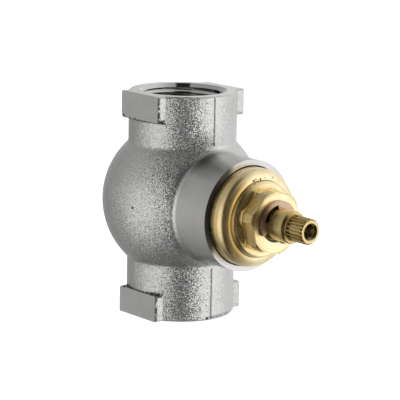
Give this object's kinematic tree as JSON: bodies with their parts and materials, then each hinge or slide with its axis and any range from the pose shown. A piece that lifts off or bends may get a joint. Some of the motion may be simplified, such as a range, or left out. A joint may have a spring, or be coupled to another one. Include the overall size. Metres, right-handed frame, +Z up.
{
  "type": "concealed stop valve",
  "caption": "In-wall stop valve: round cast body with a female pipe end at top and bottom and a quarter-turn ceramic headpart whose splined spindle points to the front.",
  "frame": {"origin": "centre of the lower pipe rim, on the pipe axis; the valve stands on this rim", "axes": "+Z up along the pipe axis, from the lower to the upper pipe end; -Y along the spindle, out of the wall towards the user; +X to the right as the user sees it"},
  "size_m": [0.052, 0.0887, 0.0735],
  "materials": {
    "body_nickel": "matt nickel plate on a blasted brass casting",
    "turned_brass": "turned, lightly nickelled",
    "spindle_brass": "turned and rolled",
    "spring_bronze": "stamped spring bronze, plain",
    "black_rubber": "smooth",
    "white_plastic": "smooth",
    "disc_ceramic": "lapped"
  },
  "bodies": {
    "valve": {"valve_body": "body_nickel", "adaptor_bush": "turned_brass", "adaptor_o_ring": "black_rubber", "headpart_housing": "turned_brass", "headpart_o_ring": "black_rubber", "slide_ring": "white_plastic", "fixed_disc": "disc_ceramic", "seat_seal": "black_rubber", "seal_support_ring": "white_plastic"},
    "spindle_body": {"spindle": "spindle_brass", "snap_ring": "spring_bronze", "spindle_o_ring_front": "black_rubber", "spindle_o_ring_rear": "black_rubber", "turning_disc": "disc_ceramic"}
  },
  "joints": [
    {"name": "spindle_turn", "type": "hinge", "parent": "valve", "child": "spindle_body", "pos_m": [0, -0.03, 0.0374], "axis": [0, -1, 0], "range_deg": [0, 90]}
  ]
}
